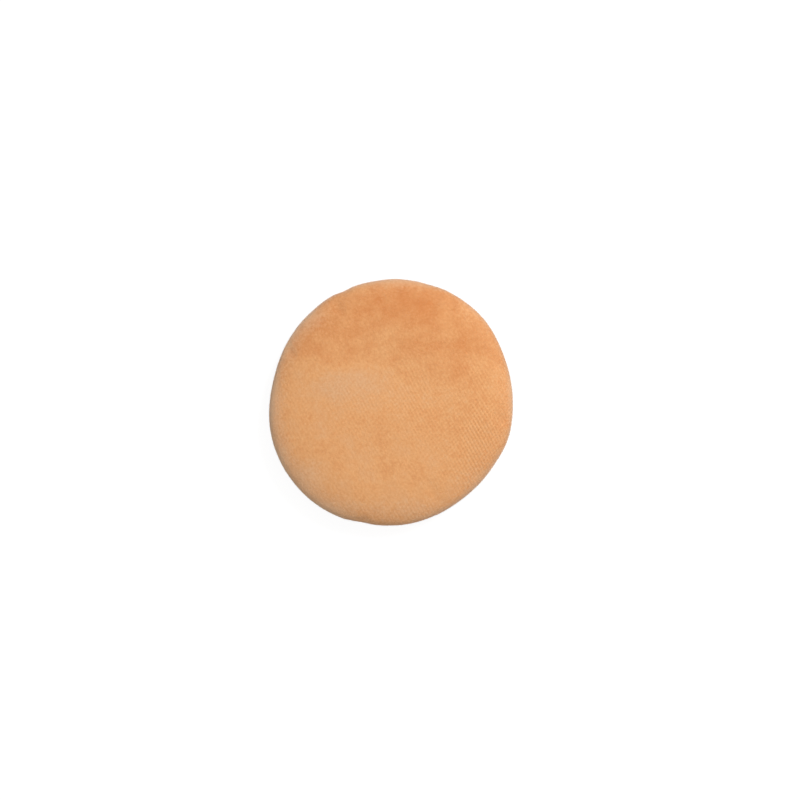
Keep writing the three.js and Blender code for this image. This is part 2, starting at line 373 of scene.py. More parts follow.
def seam_hold(out, groove):
    """How firmly a cover is held, from its loose middle to where the seam holds it still."""
    return loose_hold + (1 - loose_hold) * nearing(out, groove, hold_band)


def photo_patches(points, patches, height):
    """The sum of soft-edged patches, by place on the puff."""
    total = np.zeros(len(points))
    for px, half, weight in patches:
        x, y = place_in_photo(px, height)
        spread = ((points[:, 0] - x) / (half[0] * pixel)) ** 2
        spread += ((points[:, 1] - y) / (half[1] * pixel)) ** 2
        total += weight * np.exp(-spread)
    return total


def normals_of(points, quads):
    """The normal at each point of a skin of quads."""
    corners = points[quads]
    across = np.cross(corners[:, 2] - corners[:, 0], corners[:, 3] - corners[:, 1])
    normals = np.zeros_like(points)
    for corner in range(4):
        np.add.at(normals, quads[:, corner], across)
    return normals / lengths(normals)


def swollen(points, quads, held, push):
    """A cover after its filling has pressed it out. held and push are shares, one to a point."""
    inward = points - normals_of(points, quads) * (swell_start * (1 - held) ** 2)[:, None]
    skin = new_mesh("skin", inward * swell_scale, quads)
    for name, weights in (("held", held), ("push", push)):
        group = skin.vertex_groups.new(name=name)
        for index, weight in enumerate(weights):
            group.add([index], float(weight), "REPLACE")
    filled = skin.modifiers.new("filled", "CLOTH")
    cloth = filled.settings
    cloth.quality = 8
    cloth.mass = 0.3
    cloth.air_damping = 5
    cloth.tension_stiffness = cloth.compression_stiffness = 15
    cloth.shear_stiffness = 5
    cloth.bending_stiffness = 2
    cloth.use_pressure = True
    cloth.uniform_pressure_force = 4
    cloth.vertex_group_pressure = "push"
    cloth.vertex_group_mass = "held"
    cloth.pin_stiffness = 1
    cloth.effector_weights.gravity = 0
    filled.collision_settings.use_collision = False
    for step in range(1, swell_frames + 1):
        scene.frame_set(step)
    after = values_of(as_mesh(skin).vertices, "co") / swell_scale
    scene.frame_set(1)
    bpy.data.objects.remove(skin)
    moved = after - inward
    return inward + moved * np.minimum(1, swell_cap / np.maximum(lengths(moved), 1e-9))


# Covers

cover_cells = 40
pile_rings, allowance_rings, lining_rings = 24, 4, 14
row_pitch = 1.06 * MM  # of the pile, 24 rows an inch
row_relief = 0.07 * MM
row_most = 1.6  # the height of both sets of rows together
tuft_relief = 0.03 * MM
bare_relief = 0.3  # of the rows and tufts where there is no pile
relief_end = 1 * MM  # past the groove, where they stop
edge_slack = 0.1 * MM  # by which points of the cut edge may fall short of it
pile_edge = 0.5 * MM  # over which the pile ends at the groove
brush_noise, brush_length = 0.12, 18 * MM
# Paler all round the rim: partly wear, partly painted sheen
rim_wear_and_sheen = 0.3  # all round
rim_wear_and_sheen_band = (7 * MM, 3 * MM)  # before the groove
rim_pile_band = (13 * MM, 7 * MM)  # the same

# The two sets of rows: degrees across them, share of the height, and seed. They wander, and
# their strength swings from place to place.
row_sets = ((30, 1.1, 3), (135, 0.62, 4))
row_wander, wander_length = 0.1 * row_pitch, 17 * MM
row_strength, row_swing, swing_length = 0.8, 0.25, 22 * MM
row_limits = (0.2, 1.4)

# Where the rows show more or less, by pixel of the photograph
rows_showing = 0.22
face_rubbed = (
    ((490, 446), (34, 58), 2.0),
    ((450, 416), (50, 44), 0.5),
    ((474, 474), (24, 20), 0.45),
    ((391, 402), (60, 30), 0.4),
    ((300, 400), (20, 30), 0.3),
    ((400, 510), (60, 12), 0.8),
)
back_rubbed = (((391, 402), (120, 120), 0.6),)

# How the pile has been brushed: pixel of the photograph, half width and height in pixels, and
# -1 where it stands up and looks deep, 1 where it lies flat and looks pale. The pale is partly
# painted sheen, and some patches are painted light and painted shade on the face
face_nap_and_painted_light = (
    ((352, 384), (46, 18), 1.15),
    ((402, 303), (54, 22), -1.15),
    ((462, 350), (40, 38), -0.7),
    ((402, 346), (44, 28), -0.45),
    ((326, 336), (42, 40), -0.6),
    ((391, 507), (86, 14), 0.5),
    ((482, 482), (26, 20), 0.3),
    ((304, 476), (26, 26), 0.5),
)

# Where the rim is paler: partly rubbed pale, partly painted sheen and painted light on its
# shaded side
face_wear_and_painted_light = (
    ((268, 386), (12, 66), 1.1),
    ((284, 336), (14, 22), 0.8),
    ((304, 316), (20, 16), 0.65),
    ((400, 280), (70, 9), 0.45),
    ((478, 308), (24, 20), 0.15),
    ((514, 396), (9, 36), 0.4),
    ((282, 468), (10, 30), 0.8),
    ((314, 510), (30, 12), 0.7),
    ((304, 486), (22, 20), 0.5),
    ((396, 510), (84, 12), 0.2),
    ((482, 484), (26, 20), 0.3),
)


def pile_rows(flat, matted):
    """Height of the pile, in shares, from the two sets of rows that its knitting leaves."""
    total = 0
    for degrees, share, seed in row_sets:
        across = np.array((math.cos(math.radians(degrees)), math.sin(math.radians(degrees))))
        drift = row_wander * smooth_waves(flat, wander_length, seed)
        swing = row_swing * smooth_waves(flat, swing_length, seed + 10)
        strength = share * np.clip(row_strength + swing, *row_limits)
        total = total + strength * np.cos(2 * np.pi * (flat @ across + drift) / row_pitch)
    return total * matted / row_most


def by_angle(loop, flat):
    """A loop of points, put in order of their angle."""
    _, angle = polar(flat[loop])
    return loop[np.argsort((angle + 1e-3) % (2 * np.pi))]


def cover(name, height, flattening, side, marks, seed, finish):
    """A cover as a closed shell: its pile side, its wrong side and its cut edge."""
    lumps, nap, rubbed, wear = marks
    line = pile_line(height, flattening)
    reach = run_of(line)[-1]
    groove = reach - allowance_width
    pile_side = np.linspace(square_share * reach, groove, pile_rings)
    rings = np.concatenate((pile_side, np.linspace(groove, reach, allowance_rings)[1:]))
    flat, quads, _ = round_grid(cover_cells, rings)
    skin = wrapped(flat, line, side)
    quads = quads[:, ::side]
    out, _ = polar(flat)
    under = ribbon_share(skin[:, 0] - puff_middle[0]) * (side < 0)
    held = np.maximum(seam_hold(out, groove), under)
    height_over = height if side > 0 else 0
    thick = photo_patches(skin, lumps, height_over)
    thick += lump_noise * smooth_waves(skin, lump_length, seed)
    push = np.clip((1 + thick) / 2, 0, 1) * (1 if side > 0 else resting_push)
    skin = swollen(skin, quads, held, push)

    # The pile, on a finer skin
    pattern = np.column_stack((flat, np.zeros(len(flat))))
    points, normals, faces, fine = finer(skin, quads, {"pattern": pattern})
    flat = fine["pattern"][:, :2]
    out, _ = polar(flat)
    under = ribbon_share(points[:, 0] - puff_middle[0]) * (side < 0)
    pile = np.clip((groove - out) / pile_edge, 0, 1) * (1 - under)
    matted = rows_showing + photo_patches(points, rubbed, height_over)
    rows = pile_rows(flat, matted)
    tufts = np.random.default_rng(seed).normal(size=len(points))
    relief = (bare_relief + (1 - bare_relief) * pile) * (out < groove + relief_end)
    points = points + normals * (relief * (row_relief * rows + tuft_relief * tufts))[:, None]
    # Pile lay, partly painted sheen, painted light and painted shade
    brushed_and_lit = photo_patches(points, nap, height_over)
    brushed_and_lit += brush_noise * smooth_waves(points, brush_length, seed + 1)
    # Paler rim: partly wear, partly painted sheen and painted light on the shaded side
    worn_and_lit = photo_patches(points, wear, rim_lift) + rim_wear_and_sheen * nearing(out, groove, rim_wear_and_sheen_band)

    # The wrong side, joined on along the cut edge
    wrong = wrong_line(height, flattening)
    wrong_reach = run_of(wrong)[-1]
    inner_flat, inner_quads, inner_edge = round_grid(
        cover_cells, np.linspace(square_share * wrong_reach, wrong_reach, lining_rings)
    )
    inner_points = wrapped(inner_flat, wrong, side)
    inner_edge = by_angle(inner_edge, inner_flat)
    outer_edge = by_angle(np.flatnonzero(out > reach - edge_slack), flat)
    split = len(outer_edge) // len(inner_edge)
    first = len(points)
    bridge = []
    for j, corner in enumerate(inner_edge):
        fan = outer_edge[np.arange(j * split, (j + 1) * split + 1) % len(outer_edge)]
        bridge += [(b, a, first + corner) for a, b in zip(fan, fan[1:])]
        bridge.append((first + corner, first + inner_edge[(j + 1) % len(inner_edge)], fan[-1]))
    all_faces = [*faces, *(first + inner_quads[:, ::-side]), *np.array(bridge)[:, ::side]]

    attributes = {"rows": rows, "matted": matted, "nap": brushed_and_lit, "wear": worn_and_lit}
    attributes |= {"pile": pile, "rim pile": pile * nearing(out, groove, rim_pile_band)}
    none = np.zeros(len(inner_points))
    attributes = {key: np.concatenate((values, none)) for key, values in attributes.items()}
    return new_mesh(name, np.vstack((points, inner_points)), all_faces, finish, attributes)


# Geometry Nodes

fibre_density = {"pile": 7.8 / MM**2, "rim pile": 17 / MM**2}
fibre_length = {"pile": 0.48 * MM, "rim pile": 0.6 * MM}
fibre_width = 0.036 * MM
fibre_lean_degrees = 55  # the most, each way
fibre_range = (0.6, 1.1)  # the shortest and longest, as shares of the given length
row_growth = 0.25  # how much longer fibres are on top of a row
root_depth = 0.25  # of a fibre's length, that is sunk in the cloth
# Painted light on the fibres: they are paler towards the tip
root_painted_light = 0.6  # next to a fibre's tip, which is 1
yarn_sides = 12
yarn_plies = 3
yarn_waist = 0.17  # how far the yarn is drawn in between its plies, as a share of its radius


def new_maker(name, **inputs):
    """A Geometry Nodes tree that takes a base, those inputs and a finish, and a wire from each."""
    group = bpy.data.node_groups.new(name, "GeometryNodeTree")
    inputs = {"Geometry": "Geometry", **inputs, "Finish": "Material"}
    for key, kind in inputs.items():
        group.interface.new_socket(key, in_out="INPUT", socket_type="NodeSocket" + kind)
    group.interface.new_socket("Geometry", in_out="OUTPUT", socket_type="NodeSocketGeometry")
    tree = Tree(group)
    entry = group.nodes.new("NodeGroupInput")
    return tree, {key: Wire(tree, entry.outputs[key]) for key in inputs}


def ended(tree, made, finish):
    """The tree, which hands out what it has made as a plain mesh with a finish."""
    made = tree.add("GeometryNodeRealizeInstances", {}, {"Geometry": made})
    made = tree.add("GeometryNodeSetMaterial", {}, {"Geometry": made, "Material": finish})
    tree.add("NodeGroupOutput", {}, {"Geometry": made})
    return tree.group


def pile_maker():
    """Grows fibres on a cover where one of its attributes is above 0."""
    numbers = dict.fromkeys(("Fibres to an area", "Length", "Width", "Lean"), "Float")
    tree, size = new_maker("pile", Where="String", **numbers, Seed="Int")

    def named(name):
        return tree.add("GeometryNodeInputNamedAttribute", {"data_type": "FLOAT"}, {"Name": name})

    density = size["Fibres to an area"] * named(size["Where"])
    roots = {"Mesh": size["Geometry"], "Density": density, "Seed": size["Seed"]}
    roots = tree.add("GeometryNodeDistributePointsOnFaces", {"distribute_method": "RANDOM"}, roots)
    most = tree.add("ShaderNodeCombineXYZ", {}, {"X": size["Lean"], "Y": size["Lean"]})
    lean = {0: tree.scaled(most, -1.0), 1: most, "Seed": size["Seed"]}
    lean = tree.add("FunctionNodeRandomValue", {"data_type": "FLOAT_VECTOR"}, lean)
    lean = tree.add("FunctionNodeEulerToRotation", {}, {"Euler": lean})
    turn = {"Rotation": roots.out("Rotation"), "Rotate By": lean}
    turn = tree.add("FunctionNodeRotateRotation", {"rotation_space": "LOCAL"}, turn)
    shortest, longest = fibre_range
    varied = {2: shortest, 3: longest, "Seed": size["Seed"]}
    varied = tree.add("FunctionNodeRandomValue", {"data_type": "FLOAT"}, varied, 1)
    grown = varied * (named("rows") * row_growth + 0.9)
    fibre = {"Vertices": 3, "Radius Top": 0.0, "Radius Bottom": size["Width"] * 0.5}
    fibre["Depth"] = size["Length"]
    fibre = tree.add("GeometryNodeMeshCone", {"fill_type": "NGON"}, fibre)
    rise = tree.add("ShaderNodeSeparateXYZ", {}, {0: tree.add("GeometryNodeInputPosition")}, "Z")
    # Painted light on the fibres, which face sideways: paler towards the tip
    painted_fibre_lightness = rise / size["Length"] * (1 - root_painted_light) + root_painted_light
    fibre = tree.add(
        "GeometryNodeStoreNamedAttribute",
        {"data_type": "FLOAT", "domain": "POINT"},
        {"Geometry": fibre, "Name": "tip", "Value": painted_fibre_lightness},
    )
    grown = tree.add("ShaderNodeCombineXYZ", {}, {"X": 1.0, "Y": 1.0, "Z": grown})
    hair = {"Points": roots, "Instance": fibre, "Rotation": turn, "Scale": grown}
    hair = tree.add("GeometryNodeInstanceOnPoints", {}, hair)
    sunk = tree.add("ShaderNodeCombineXYZ", {}, {"Z": size["Length"] * -root_depth})
    hair = {"Instances": hair, "Translation": sunk}
    hair = tree.add("GeometryNodeTranslateInstances", {}, hair)
    return ended(tree, hair, size["Finish"])


def thread_maker():
    """Makes three twisted plies along a chain of edges."""
    tree, size = new_maker("twisted thread", Step="Float", Diameter="Float", Twist="Float")
    line = tree.add("GeometryNodeMeshToCurve", {}, {"Mesh": size["Geometry"]})
    line = {"Curve": line, "Length": size["Step"]}
    line = tree.add("GeometryNodeResampleCurve", {"mode": "LENGTH"}, line)
    along = tree.add("GeometryNodeSplineParameter", output="Length")
    tilt = along / size["Twist"] * (2 * math.pi)
    line = tree.add("GeometryNodeSetCurveTilt", {}, {"Curve": line, "Tilt": tilt})
    line = tree.add("GeometryNodeSetCurveRadius", {}, {"Curve": line, "Radius": 1.0})
    sizes = {"Resolution": yarn_sides, "Radius": 1.0}
    ring = tree.add("GeometryNodeCurvePrimitiveCircle", {}, sizes)
    turn = tree.add("GeometryNodeInputIndex") * (yarn_plies * 2 * math.pi / yarn_sides)
    swell = (turn.math("COSINE") * yarn_waist + (1 - yarn_waist)) * size["Diameter"] * 0.5
    lobed = tree.scaled(tree.add("GeometryNodeInputPosition"), swell)
    ring = tree.add("GeometryNodeSetPosition", {}, {"Geometry": ring, "Position": lobed})
    yarn = {"Curve": line, "Profile Curve": ring, "Fill Caps": True}
    yarn = tree.add("GeometryNodeCurveToMesh", {}, yarn)
    return ended(tree, yarn, size["Finish"])


def made_by(maker, name, base, sizes):
    """What a tree makes of a base object, as a piece of its own with a plain mesh."""
    grower = base.modifiers.new("maker", "NODES")
    grower.node_group = maker
    for item in maker.interface.items_tree:
        if item.in_out == "INPUT" and item.name in sizes:
            grower[item.identifier] = sizes[item.name]
    piece = placed(name, as_mesh(base))
    base.modifiers.clear()
    return piece


# Where the tip and the three root corners of a fibre lie in its own cell of the map for the bake
fibre_cell = np.array(((0.5, 0.9), (0.15, 0.15), (0.85, 0.15), (0.5, 0.3)))


def map_fibres(piece):
    """A UV map for the bake, with a cell for each fibre."""
    mesh = piece.data
    fibre, corner = np.divmod(corners_of(mesh), len(fibre_cell))
    across = math.ceil(math.sqrt(len(mesh.vertices) / len(fibre_cell)))
    cell = np.stack((fibre % across, fibre // across), axis=1)
    places = (cell + fibre_cell[corner]) / across
    mesh.uv_layers.new(name="OFBake").uv.foreach_set("vector", places.ravel())
    return piece


# Finger ribbon

ribbon_thickness = 0.27 * MM
pick_pitch = 0.35 * MM  # of the weft, which shows along the ribbon's edges
ribbon_columns = 60
ribbon_rows = 240
ribbon_bend = (13 * MM, 34 * MM)  # from the middle, where it begins to follow the round rim


def ribbon(name, finish):
    """A woven ribbon along the back and over both rims, with its ends between the allowances."""
    line = pile_line(back_height, back_flattening)
    run = run_of(line)
    along = np.gradient(line, axis=0)
    along /= lengths(along)
    mid = line + fold_gap / 2 * np.stack((-along[:, 1], along[:, 0]), axis=1)
    mid[0, 0] = 0
    length = run_of(mid)
    reach = length[-1]
    across = np.linspace(-1, 1, ribbon_columns + 1) * ribbon_half_width
    rows = np.linspace(-reach, reach, ribbon_rows + 1)
    x, s = np.meshgrid(across, rows, indexing="ij")
    radius = np.interp(np.abs(s), length, mid[:, 0])
    height = np.interp(np.abs(s), length, mid[:, 1])
    out = np.interp(np.abs(s), length, run)
    bent = eased(radius, *ribbon_bend)
    y = np.sign(s) * np.sqrt(np.maximum(radius**2 - bent * x**2, 0))
    angle = np.arctan2(y, x)
    groove = run[-1] - allowance_width
    drawn_in = dent(angle) * dented(out, groove) + ribbon_press * pressed_in(out, groove)
    scale = outline(angle) - drawn_in / rim_radius
    places = (puff_middle[0] + x * scale, puff_middle[1] + y * scale, seam_height - height)
    points = np.stack(places, axis=-1).reshape(-1, 3)
    at = np.arange(len(points)).reshape(x.shape)
    quads = np.stack((at[:-1, :-1], at[:-1, 1:], at[1:, 1:], at[1:, :-1]), axis=-1).reshape(-1, 4)
    weave = np.stack((x, s, np.zeros_like(x)), axis=-1).reshape(-1, 3)
    piece = new_mesh(name, points, quads, finish, {"weave": weave})
    wall = piece.modifiers.new("thickness", "SOLIDIFY")
    wall.thickness, wall.offset = ribbon_thickness, 0
    walled = as_mesh(piece)
    piece.modifiers.clear()
    piece.data = walled
    return piece, (2 * ribbon_half_width, 2 * reach)


# Sewing

thread_diameter = 0.25 * MM
thread_seat = 0.1 * MM
stitch_inset = 1.5 * MM
gap_stitches = 6
gap_degrees = 160
thread_tail = 1.3 * MM
knot_share = 2.2  # of the thread's diameter, for the knot's
knot_points = 60
knot_reach = 5  # the points of a line's end that show which way it runs
bend_share, leg_share, cross_share = 0.12, 0.06, 0.03  # of a stitch, from the needle hole
leg_height = 0.2  # of the thread's, where it goes into the hole
thread_step = 0.1 * MM
corner_reach = 2  # points each way, over which the thread's corners are rounded
ply_twist = 0.9 * MM

seam_radius = rim_radius - seam_depth - stitch_inset
stitch_turn = 2 * math.pi / stitch_count
stitch_length = seam_radius * stitch_turn
thread_level = pressed_gap / 2 + allowance_wall + thread_seat
loop_space = thread_diameter + thread_seat
loop_width = 1.3 * loop_space
tail = thread_tail / stitch_length
first_gap_hole = round(math.radians(gap_degrees) / stitch_turn - gap_stitches / 2) + 0.5
gap_holes = [first_gap_hole + i for i in range(gap_stitches)]
machine_holes = [first_gap_hole + gap_stitches + i for i in range(stitch_count - gap_stitches)]


def lockstitch(side):
    """One thread of the machine seam. Each point is stitches along, how far out, and a height."""
    level = side * thread_level
    points = [(machine_holes[0] - tail, 0, level)]
    for hole in machine_holes:
        points += [
            (hole - bend_share, -side * loop_width / 2, level),
            (hole - leg_share, -side * loop_width, leg_height * level),
            (hole, 0, -side * loop_space),
            (hole + leg_share, side * loop_width, leg_height * level),
            (hole + bend_share, side * loop_width / 2, level),
            (hole + 0.5, 0, level),
        ]
    points[-1] = (machine_holes[-1] + tail, 0, level)
    return points


def ladder():
    """The hand sewing, which crosses from one fold to the other at each needle hole."""
    points = [(gap_holes[0] - tail, 0, thread_level)]
    side = 1
    for hole in gap_holes:
        way = ((-bend_share, 1), (-cross_share, 0.5), (cross_share, -0.5), (bend_share, -1))
        points += [(hole + share, 0, side * height * thread_level) for share, height in way]
        side = -side
    return [*points, (gap_holes[-1] + tail, 0, side * thread_level)]


def knotted(path, end):
    """A path with an overhand knot at its start or end."""
    turn = np.linspace(0, 2 * np.pi, knot_points)
    radius = knot_share * thread_diameter / 4
    tip, before = (path[-1], path[-1 - knot_reach]) if end else (path[0], path[knot_reach])
    along = (tip - before) / np.linalg.norm(tip - before)
    aside = np.cross(along, (0, 0, 1))
    aside /= np.linalg.norm(aside)
    up = np.cross(aside, along)
    swing = (np.sin(turn) + 2 * np.sin(2 * turn)) / 3
    sway = (np.cos(turn) - 2 * np.cos(2 * turn)) / 3
    lift = -np.sin(3 * turn) / 2
    loops = tip + radius * (
        np.outer(swing * 2, along) + np.outer(sway * 2, aside) + np.outer(lift, up)
    )
    return np.vstack((path, loops)) if end else np.vstack((loops[::-1], path))


def thread(maker, name, stitches, finish, knots=False):
    """A yarn along points of the seam, with its corners rounded."""
    at, out, height = np.array(stitches).T
    angle = at * stitch_turn
    corners = round_the_middle((seam_radius + out) * outline(angle), angle, height)
    path = even_line(corners)
    if knots:
        path = even_line(knotted(knotted(path, True), False))
    path = rounded(path, corner_reach)
    edges = [(i, i + 1) for i in range(len(path) - 1)]
    mesh = bpy.data.meshes.new("path")
    mesh.from_pydata(path.tolist(), edges, [])
    base = placed("path", mesh)
    sizes = {"Step": thread_step, "Diameter": thread_diameter, "Twist": ply_twist}
    piece = made_by(maker, name, base, sizes | {"Finish": finish})
    piece.data.shade_smooth()
    bpy.data.objects.remove(base)
    return piece


def even_line(points):
    """A line through points, with points of its own at every step of the thread."""
    run = run_of(points)
    steps = np.linspace(0, run[-1], round(run[-1] / thread_step) + 1)
    return np.stack([np.interp(steps, run, axis) for axis in points.T], axis=1)


def rounded(points, reach):
    """A line with its corners rounded over a number of points each way."""
    share = np.exp(-0.5 * (np.arange(-3 * reach, 3 * reach + 1) / reach) ** 2)
    share /= share.sum()
    longer = np.vstack((points[:1].repeat(3 * reach, 0), points, points[-1:].repeat(3 * reach, 0)))
    return np.stack([np.convolve(axis, share, "valid") for axis in longer.T], axis=1)


# Filling

core_thickness = 5 * MM
core_waist = 0.5 * MM
waist_points = 12
seat_gap = 0.3 * MM
core_radius = rim_radius - seam_depth - allowance_width - seat_gap
knot_top = fold_gap / 2 + allowance_wall + thread_seat + knot_share * thread_diameter
wadding_floor = knot_top + seat_gap
hem_inset, hem_height = 0.1 * MM, 0.05 * MM  # of the wadding's edge, from its crown and floor
pad_cells = 22
pad_spacing = 1.5 * MM

# The lengths and depths of the waves in the surfaces, in mm
foam_relief = ((9, 0.06), (1.1, 0.035), (0.6, 0.03))
wadding_relief = ((7, 0.07), (2.2, 0.05), (1, 0.03))


def closed_pad(name, over, under, side, relief, seed, finish):
    """A pad between two lines that run from its middle to the same edge, over and under it."""
    skins = []
    for line in (over, under):
        line = np.array(line)
        reach = run_of(line)[-1]
        steps = round((1 - square_share) * reach / pad_spacing)
        rings = np.linspace(square_share * reach, reach, steps)
        skins.append((line, round_grid(pad_cells, rings)))
    (top, (top_flat, top_quads, top_edge)), (low, (low_flat, low_quads, low_edge)) = skins
    points = np.vstack((turned_up(top_flat, top, side), turned_up(low_flat, low, side)))
    weld = np.arange(len(low_flat)) + len(top_flat)
    weld[low_edge] = top_edge
    quads = np.vstack((top_quads, weld[low_quads][:, ::-1]))[:, ::side]
    used, quads = np.unique(quads, return_inverse=True)
    points, normals, faces, _ = finer(points[used], quads.reshape(-1, 4), {})
    rough = 0
    for i, (length, depth) in enumerate(relief):
        rough = rough + depth * MM * smooth_waves(points, length * MM, seed + i)
    return new_mesh(name, points + normals * rough[:, None], faces, finish)


def turned_up(flat, line, side):
    """A flat disc in real lengths, laid along a line from the middle of the puff."""
    run = run_of(line)
    out, angle = polar(flat)
    radius = np.interp(out, run, line[:, 0]) * outline(angle)
    return round_the_middle(radius, angle, side * np.interp(out, run, line[:, 1]))


def foam_core(name, finish):
    half = core_thickness / 2
    bow = np.linspace(1, 0, waist_points)
    side = np.stack((core_radius - core_waist * (1 - bow**2), half * bow), axis=1)
    line = np.vstack(((0, half), side))
    return closed_pad(name, line, line * (1, -1), 1, foam_relief, seed=31, finish=finish)


def wadding(name, height, flattening, side, seed, finish):
    inset = cover_wall + seat_gap
    crown = crown_line(height, flattening, inset)
    edge = rim_radius - inset
    over = np.vstack((crown, (edge - hem_inset, wadding_floor + hem_height)))
    step = core_radius + seat_gap
    level = core_thickness / 2 + seat_gap
    under = np.array(((0, level), (step, level), (step, wadding_floor), over[-1]))
    return closed_pad(name, over, under, side, wadding_relief, seed, finish)


# Finishes


class Wire:
    """A socket of a node tree. Arithmetic on it adds Math nodes."""

    def __init__(self, tree, socket):
        self.tree, self.socket = tree, socket

    def out(self, name):
        """Another output of the same node."""
        return Wire(self.tree, self.socket.node.outputs[name])

    def math(self, operation, *others):
        values = dict(enumerate((self, *others)))
        return self.tree.add("ShaderNodeMath", {"operation": operation}, values)

    def __add__(self, other):
        return self.math("ADD", other)

    __radd__ = __add__

    def __sub__(self, other):
        return self.math("SUBTRACT", other)

    def __rsub__(self, other):
        return self.math("MULTIPLY_ADD", -1.0, other)

    def __mul__(self, other):
        return self.math("MULTIPLY", other)

    __rmul__ = __mul__

    def __truediv__(self, other):
        return self.math("DIVIDE", other)


class Tree:
    """A node tree, written as calls."""

    def __init__(self, group):
        self.group = group

    def add(self, kind, settings=(), inputs=(), output=0):
        """A node of a kind, its settings set first and then the values or links of its sockets."""
        node = self.group.nodes.new(kind)
        for name, value in dict(settings).items():
            if name == "stops":
                set_stops(node.color_ramp, value)
            else:
                setattr(node, name, value)
        for name, value in dict(inputs).items():
            if isinstance(value, Wire):
                self.group.links.new(value.socket, node.inputs[name])
            else:
                node.inputs[name].default_value = value
        return Wire(self, node.outputs[output]) if node.outputs else None

    def scaled(self, vector, factor):
        inputs = {0: vector, "Scale": factor}
        return self.add("ShaderNodeVectorMath", {"operation": "SCALE"}, inputs)

    def mix(self, share, tone, colour):
        """A tone with a share of a colour mixed in."""
        inputs = {0: share, 6: tone, 7: srgb(*colour)}
        return self.add("ShaderNodeMix", {"data_type": "RGBA"}, inputs, 2)


def set_stops(scale, stops):
    for spare in list(scale.elements)[1:]:
        scale.elements.remove(spare)
    for i, (place, shade) in enumerate(stops):
        stop = scale.elements[0] if i == 0 else scale.elements.new(place)
        stop.position = place
        stop.color = srgb(*shade) if isinstance(shade, tuple) else (shade, shade, shade, 1)


def srgb(red, green, blue):
    """A colour in numbers from 0 to 255, as Blender's own linear one."""
    shares = [c / 255 for c in (red, green, blue)]
    linear = [c / 12.92 if c <= 0.04045 else ((c + 0.055) / 1.055) ** 2.4 for c in shares]
    return (*linear, 1)


def emptied(holder):
    """The node tree of a new material or world, without the nodes that it starts with."""
    holder.use_nodes = True
    holder.node_tree.nodes.clear()
    return Tree(holder.node_tree)


def new_finish(name, build, **shader):
    """A material. build returns the links of its shader, and shader holds what is even all over."""
    finish = bpy.data.materials.new(name)
    tree = emptied(finish)
    even = {key.replace("_", " "): value for key, value in shader.items()}
    surface = tree.add("ShaderNodeBsdfPrincipled", {}, {**even, **build(tree)})
    tree.add("ShaderNodeOutputMaterial", {}, {"Surface": surface})
    return finish


def noise(tree, place, scale, detail=2.0, swirl=0.0):
    inputs = {"Vector": place, "Scale": scale, "Detail": detail, "Distortion": swirl}
    return tree.add("ShaderNodeTexNoise", {}, inputs)


def ramp(tree, value, *stops):
    return tree.add("ShaderNodeValToRGB", {"stops": stops}, {"Fac": value})


def attribute(tree, name, output="Fac"):
    return tree.add("ShaderNodeAttribute", {"attribute_name": name}, output=output)


def bump(tree, height, depth, strength=1.0):
    inputs = {"Strength": strength, "Distance": depth, "Height": height}
    return tree.add("ShaderNodeBump", {}, inputs)


def stretched(tree, place, scale):
    """Coordinates drawn out so that a pattern gets that many repeats to the metre each way."""
    return tree.add("ShaderNodeMapping", {}, {"Vector": place, "Scale": scale})


# The velour: repeats to the metre of its patterns, their shares, and its colours. The valley and
# tuft gap tones are painted shade, the fibre tip tone is painted light, the worn tone is partly
# wear and partly painted sheen and light, and the flat and standing pile tones are partly painted
# sheen and painted shade

lay_scale, flock_scale, fibre_scale, tuft_scale = 200, 1100, 9000, 6500
tuft_stray = 0.2 * MM  # how far the fibres pull the edge of a tuft about
pile_relief = 0.08 * MM
nap_and_light_share, lay_share, flock_share, matted_flock = 0.36, 0.55, 0.34, 0.15
valley_shade_contrast, valley_shade_most = 0.76, 0.54
tuft_gap_shade_most, flock_gap_most = 0.3, 0.26
worn_and_lit_most, worn_and_lit_flock = 0.9, 0.6
painted_fibre_light_share = 0.9
standing_pile_and_shade, mid_pile, flat_pile_and_sheen = (210, 132, 76), (233, 174, 118), (226, 179, 134)
valley_shade_pile, tuft_gap_shade, flock_gap = (192, 128, 76), (204, 138, 84), (200, 134, 82)
worn_and_lit_pile, painted_fibre_light = (230, 190, 152), (255, 212, 164)


